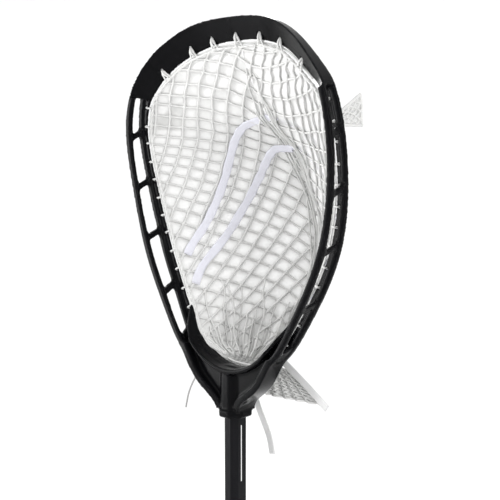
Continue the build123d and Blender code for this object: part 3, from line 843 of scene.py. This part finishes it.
# ------------------------------------------------------------------------------ the head
def throat_filler(target):
    """Adds the moulded body between the throat's arms, set back from their front edges."""
    outline = [*FILLER_HALF, *[(-x, z) for x, z in reversed(FILLER_HALF[:-1])]]
    front = [target.verts.new((x, FILLER_FRONT, HEAD_BASE + z)) for x, z in outline]
    back = [target.verts.new((x, FILLER_BACK, HEAD_BASE + z)) for x, z in outline]
    target.faces.new(front)
    target.faces.new(back[::-1])
    for k in range(len(outline)):
        m = (k + 1) % len(outline)
        target.faces.new([front[m], front[k], back[k], back[m]])


def stop_blend(target, side):
    """Adds the lip that carries the ball stop on into one sidewall."""
    rings = []
    for x, front, back, z in STOP_BLEND:
        out = Vector((BLEND_LEAN[0] * side, 0, BLEND_LEAN[1])) * BLEND_WALL
        at = Vector((side * x, 0, HEAD_BASE + z))
        corners = [(at, front), (at, back), (at + out, back), (at + out, front)]
        rings.append([target.verts.new((p.x, y, p.z)) for p, y in corners])
    for low, high in zip(rings, rings[1:]):
        for k in range(4):
            loop = [low[k], low[(k + 1) % 4], high[(k + 1) % 4], high[k]]
            target.faces.new(loop if side > 0 else loop[::-1])
    for loop in (rings[0][::-1], rings[-1]):
        target.faces.new(loop if side > 0 else loop[::-1])


# ------------------------------------------------------------------------------ operators
class STICK_OT_head(bpy.types.Operator):
    """Joins the head's moulding in one skin with rounded edges"""

    bl_idname = "stick.head"
    bl_label = "Moulded head"

    def execute(self, context):
        sizes = context.scene.stick_sizes
        joined = bmesh.new()
        for node in HEAD_NODES:
            joined.from_mesh(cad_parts[node].data)
        throat_filler(joined)
        for side in (-1, 1):
            stop_blend(joined, side)
        mesh = bpy.data.meshes.new("head_moulding")
        joined.to_mesh(mesh)
        joined.free()
        rough = bpy.data.objects.new("head_moulding", mesh)
        context.scene.collection.objects.link(rough)
        remesh = rough.modifiers.new("skin", "REMESH")
        remesh.mode = "VOXEL"
        remesh.voxel_size = sizes.moulding_voxel
        soften = rough.modifiers.new("soften", "SMOOTH")
        soften.factor = 0.5
        soften.iterations = 5
        finished = rough.evaluated_get(context.evaluated_depsgraph_get())
        skin = bpy.data.meshes.new_from_object(finished)
        rough.modifiers.clear()
        rough.data = skin
        skin.polygons.foreach_set("use_smooth", [True] * len(skin.polygons))
        skin.materials.clear()
        skin.materials.append(moulded_nylon(sizes))
        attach(rough, "stick")
        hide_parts(*HEAD_NODES)
        return {"FINISHED"}


class STICK_OT_handle(bpy.types.Operator):
    """Paints the handle and finishes the end cap and the screw"""

    bl_idname = "stick.handle"
    bl_label = "Handle, cap and screw"

    def execute(self, context):
        sizes = context.scene.stick_sizes
        dress("shaft", handle_paint(sizes))
        dress("end_cap", cap_rubber())
        dress("head_screw", blackened_steel())
        for node, width in (("shaft", 0.5 * MM), ("head_screw", 0.15 * MM)):
            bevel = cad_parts[node].modifiers.new("edge", "BEVEL")
            bevel.width = width
            bevel.segments = 2
            bevel.limit_method = "ANGLE"
            bevel.angle_limit = math.radians(25)
        return {"FINISHED"}


class STICK_OT_net(bpy.types.Operator):
    """Knots the pocket's net"""

    bl_idname = "stick.net"
    bl_label = "Pocket net"

    def execute(self, context):
        sizes = context.scene.stick_sizes
        pocket = Pocket()
        strands = Strands()
        net_cords(strands, pocket, sizes)
        net_border(strands, pocket, sizes)
        net_gathers(strands, pocket, sizes)
        net_pleats(strands, pocket, sizes)
        net_ties(strands, pocket, sizes)
        net_hem(strands, pocket, sizes)
        net = strands.piece("pocket_net", braided_cord("net_cord", sizes.net_colour))
        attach(net, "stick")
        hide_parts("mesh_pocket")
        # a sheet of loose fibre and painted shadow halos behind the net's cords
        fibre_and_painted_shade_sheet = net_fibre_and_painted_shade("pocket_fuzz", pocket, sizes)
        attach(fibre_and_painted_shade_sheet, "stick")
        return {"FINISHED"}


class STICK_OT_laces(bpy.types.Operator):
    """Lays the two shooting laces over the net"""

    bl_idname = "stick.laces"
    bl_label = "Shooting laces"

    def execute(self, context):
        sizes = context.scene.stick_sizes
        pocket = Pocket()
        material = woven_lace(sizes)
        for name, half in LACE_STOPS.items():
            stops = list(half) + [(station, -angle) for station, angle in reversed(half[:-1])]
            fine = smooth_line(stops, 10)
            share = np.arange(len(fine)) / len(fine)
            lift = LACE_LIFT - LACE_BEHIND * ease(share, LACE_DIVE, LACE_DIVE + 0.05)
            line = np.array([pocket.rib_point(s, a, high) for (s, a), high in zip(fine, lift)])
            off = np.array([pocket.rib_normal(s, a, LACE_LIFT) for s, a in fine])
            width = sizes.lace_width * LACE_SPREAD * (0.93 + 0.07 * np.sin(np.arange(len(line)) * 0.9))
            strands = Strands()
            strands.band(line, off, width, LACE_THICK)
            lace = strands.piece(name + "_woven", material)
            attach(lace, "stick")
            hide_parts(name)
        return {"FINISHED"}


def route_line(points):
    """The smooth line of a cord's route: a NURBS spline on its points, read as a polyline."""
    curve = bpy.data.curves.new("route", "CURVE")
    curve.dimensions = "3D"
    spline = curve.splines.new("NURBS")
    spline.points.add(len(points) - 1)
    for target, (x, y, z) in zip(spline.points, points):
        target.co = (x, y, HEAD_BASE + z, 1.0)
    spline.order_u = 3
    spline.use_endpoint_u = True
    spline.resolution_u = 12
    holder = bpy.data.objects.new("route", curve)
    mesh = bpy.data.meshes.new_from_object(holder)
    line = np.array([v.co for v in mesh.vertices])
    bpy.data.objects.remove(holder)
    bpy.data.curves.remove(curve)
    bpy.data.meshes.remove(mesh)
    return line


class STICK_OT_loose_ends(bpy.types.Operator):
    """Hangs the loose ends of the laces and of the sidewall string"""

    bl_idname = "stick.loose_ends"
    bl_label = "Loose ends"

    def execute(self, context):
        sizes = context.scene.stick_sizes
        lace_look = woven_lace(sizes, TAIL_SHADE)
        for name, points in (("lace_tail_right", LACE_TAIL_RIGHT), ("lace_tail_back", LACE_TAIL_BACK)):
            line = route_line(points)
            strands = Strands()
            strands.band(line, np.tile((0.0, -1.0, 0.0), (len(line), 1)), sizes.lace_width, TAIL_THICK)
            tail = strands.piece(name + "_woven", lace_look)
            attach(tail, "stick")
            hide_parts(name)
            float(run_along(line)[-1])
        line = route_line(STRING_TAIL_LEFT)
        strands = Strands()
        strands.tube(line, STRING_RADIUS, 10)
        shade = [part * STRING_SHADE for part in sizes.net_colour]
        tail = strands.piece("string_tail_left_braid", braided_cord("tail_cord", shade))
        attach(tail, "stick")
        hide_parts("string_tail_left")
        float(run_along(line)[-1])
        return {"FINISHED"}


class STICK_OT_strings(bpy.types.Operator):
    """Gives the strings through the head's holes their braid"""

    bl_idname = "stick.strings"
    bl_label = "Head strings"

    def execute(self, context):
        sizes = context.scene.stick_sizes
        look = knitted_cord("string_cord", sizes.net_colour)
        for node in ("top_string", "bottom_string", "sidewall_string_left", "sidewall_string_right"):
            dress(node, look)
        return {"FINISHED"}


def folded_net(name, sizes, corner, along, across, size, pleats, depth, seed):
    """A loose end of the net in folds: two layers of slanting cords on a pleated skin of fibre and painted
    shade.
    """
    strands = Strands()
    draw = np.random.default_rng(seed)
    corner, along, across = np.array(corner), np.array(along), np.array(across)
    off = unit(np.cross(along, across))

    def spot(u, v, layer):
        ripple = np.sin(v * pleats * 2 * math.pi + 1.7 * u + layer)
        middle = corner + along * u[:, None] + across * (v * (0.35 + 0.65 * u))[:, None]
        return middle + off * ((ripple * 0.8 + layer * 0.5 - 0.25) * depth)[:, None]

    for layer in (0, 1):
        for lean in (-1, 1):
            for start in np.arange(-1.2, 2.2, size):
                u = np.linspace(0, 1, 40)
                v = start + lean * 0.9 * u + draw.normal() * 0.01
                keep = (v > 0) & (v < 1)
                if keep.sum() > 4:
                    strands.tube(spot(u[keep], v[keep], layer), sizes.cord_radius * 0.95, 6)
        for v in (0.0, 1.0):
            u = np.linspace(0, 1, 40)
            strands.tube(spot(u, np.full(40, v), layer), sizes.cord_radius * 1.5, 6)
        v = np.linspace(0, 1, 60)
        strands.tube(spot(np.ones(60), v, layer), sizes.cord_radius * 1.5, 6)
    rows, columns = 24, 72
    u, v = np.meshgrid(np.linspace(0, 1, rows), np.linspace(0, 1, columns), indexing="ij")
    cells = np.stack([u / size, v / size, np.full(u.shape, FOLD_BUNCHED)], axis=-1)
    # painted shade: the backing carries painted shadow halos, darkened further for the shade the loose net
    # hangs in
    fibre_and_painted_shade_backing = cloth(name + "_fuzz", spot(u.ravel(), v.ravel(), 0.5), sheet_faces(rows, columns, 0), cells,
                    fibre_fuzz(sizes, FOLD_PAINTED_SHADE))
    net = strands.piece(name + "_net", braided_cord(name + "_cord", sizes.net_colour))
    for piece in (fibre_and_painted_shade_backing, net):
        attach(piece, "stick")
    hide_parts(name)


class STICK_OT_loose_net(bpy.types.Operator):
    """Folds the net's loose tail and its two upper corners"""

    bl_idname = "stick.loose_net"
    bl_label = "Loose net"

    def execute(self, context):
        sizes = context.scene.stick_sizes
        low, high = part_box("mesh_tail")
        y = (low[1] + high[1]) / 2
        folded_net("mesh_tail", sizes, (0.018, y, high[2] - 0.003), (-0.004, 0, -0.034), (0.088, 0, 0.003),
                   0.11, 5.0, 2.6 * MM, 5)
        for side, node in ((-1, "mesh_corner_left"), (1, "mesh_corner_right")):
            low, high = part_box(node)
            x = (low[0] + high[0]) / 2
            folded_net(node, sizes, (x, low[1] + 0.002, high[2] - 0.034), (0, 0.041, 0.000),
                       (0, -0.003, 0.033), 0.28, 1.3, 0.8 * MM, 8 + side)
        return {"FINISHED"}


def bowl_floor():
    """A pale round floor whose rim curves up into a wall."""
    profile = [(0.02, 0.0), (1.5, 0.0), (FLOOR_FLAT - 0.2, 0.0), (FLOOR_FLAT, 0.0)]
    for turn in np.radians(np.arange(6, 91, 6)):
        profile.append((FLOOR_FLAT + RIM_RADIUS * math.sin(turn), RIM_RADIUS * (1 - math.cos(turn))))
    profile.append((FLOOR_FLAT + RIM_RADIUS, RIM_RADIUS + 2.0))
    turns = [(math.cos(turn), math.sin(turn)) for turn in np.radians(np.arange(0, 360, 5))]
    points = [(r * c, r * s, z) for r, z in profile for c, s in turns]
    many = len(turns)
    faces = [tuple(reversed(range(many)))]
    for ring in range(0, len(points) - many, many):
        for t in range(many):
            after = (t + 1) % many
            faces.append((ring + t, ring + after, ring + many + after, ring + many + t))
    look = Look("floor_paper", Roughness=0.9, Specular_IOR_Level=0.1)
    look.set("Base Color", look.blend(look.noise(3.0), (0.93, 0.93, 0.93, 1.0), (0.95, 0.95, 0.95, 1.0)))
    return smooth_piece("floor", points, faces, look.material)


def soft_light(name, place, target, size, power):
    """An area light aimed at a point."""
    lamp = bpy.data.lights.new(name, "AREA")
    lamp.shape = "RECTANGLE"
    lamp.size, lamp.size_y = size
    lamp.energy = power
    holder = bpy.data.objects.new(name, lamp)
    holder.location = place
    holder.rotation_mode = "QUATERNION"
    holder.rotation_quaternion = (target - place).to_track_quat("-Z", "Y")
    bpy.context.scene.collection.objects.link(holder)


class STICK_OT_stage(bpy.types.Operator):
    """Sets the floor, the soft lights and the camera"""

    bl_idname = "stick.stage"
    bl_label = "Stage"

    def execute(self, context):
        scene = context.scene
        scene.view_settings.view_transform = "Standard"
        floor = bowl_floor()
        world = bpy.data.worlds.new("studio")
        world.use_nodes = True
        background = world.node_tree.nodes["Background"]
        background.inputs[0].default_value = (1.0, 1.0, 1.0, 1.0)
        background.inputs[1].default_value = SKY_LIGHT
        scene.world = world
        for name, place, size, power in LIGHTS:
            soft_light(name, above_socket(place), above_socket(LIGHT_AIM), size, power)
        lens = bpy.data.cameras.new("camera")
        lens.lens = CAMERA_LENS
        lens.sensor_width = 36.0
        camera = bpy.data.objects.new("camera", lens)
        eye = above_socket(CAMERA_EYE)
        camera.location = eye
        camera.rotation_mode = "QUATERNION"
        camera.rotation_quaternion = (above_socket(CAMERA_AIM) - eye).to_track_quat("-Z", "Y")
        scene.collection.objects.link(camera)
        scene.camera = camera
        return {"FINISHED"}


OPERATORS = (
    STICK_OT_stage, STICK_OT_loose_ends, STICK_OT_head, STICK_OT_handle, STICK_OT_net,
    STICK_OT_laces, STICK_OT_strings, STICK_OT_loose_net,
)


class STICK_PT_panel(bpy.types.Panel):
    """Lists the stick's pieces"""

    bl_idname = "STICK_PT_panel"
    bl_label = "Goalie stick"
    bl_space_type = "VIEW_3D"
    bl_region_type = "UI"
    bl_category = "Stick"

    def draw(self, context):
        sizes = context.scene.stick_sizes
        for name in StickSizes.__annotations__:
            self.layout.prop(sizes, name)
        for operator in OPERATORS:
            self.layout.operator(operator.bl_idname)


def register():
    for kind in (StickSizes, *OPERATORS, STICK_PT_panel):
        bpy.utils.register_class(kind)
    bpy.types.Scene.stick_sizes = bpy.props.PointerProperty(type=StickSizes)


def unregister():
    del bpy.types.Scene.stick_sizes
    for kind in reversed((StickSizes, *OPERATORS, STICK_PT_panel)):
        bpy.utils.unregister_class(kind)


def main():
    register()
    for operator in OPERATORS:
        getattr(bpy.ops.stick, operator.bl_idname.split(".")[1])()


if __name__ == "__main__":
    main()
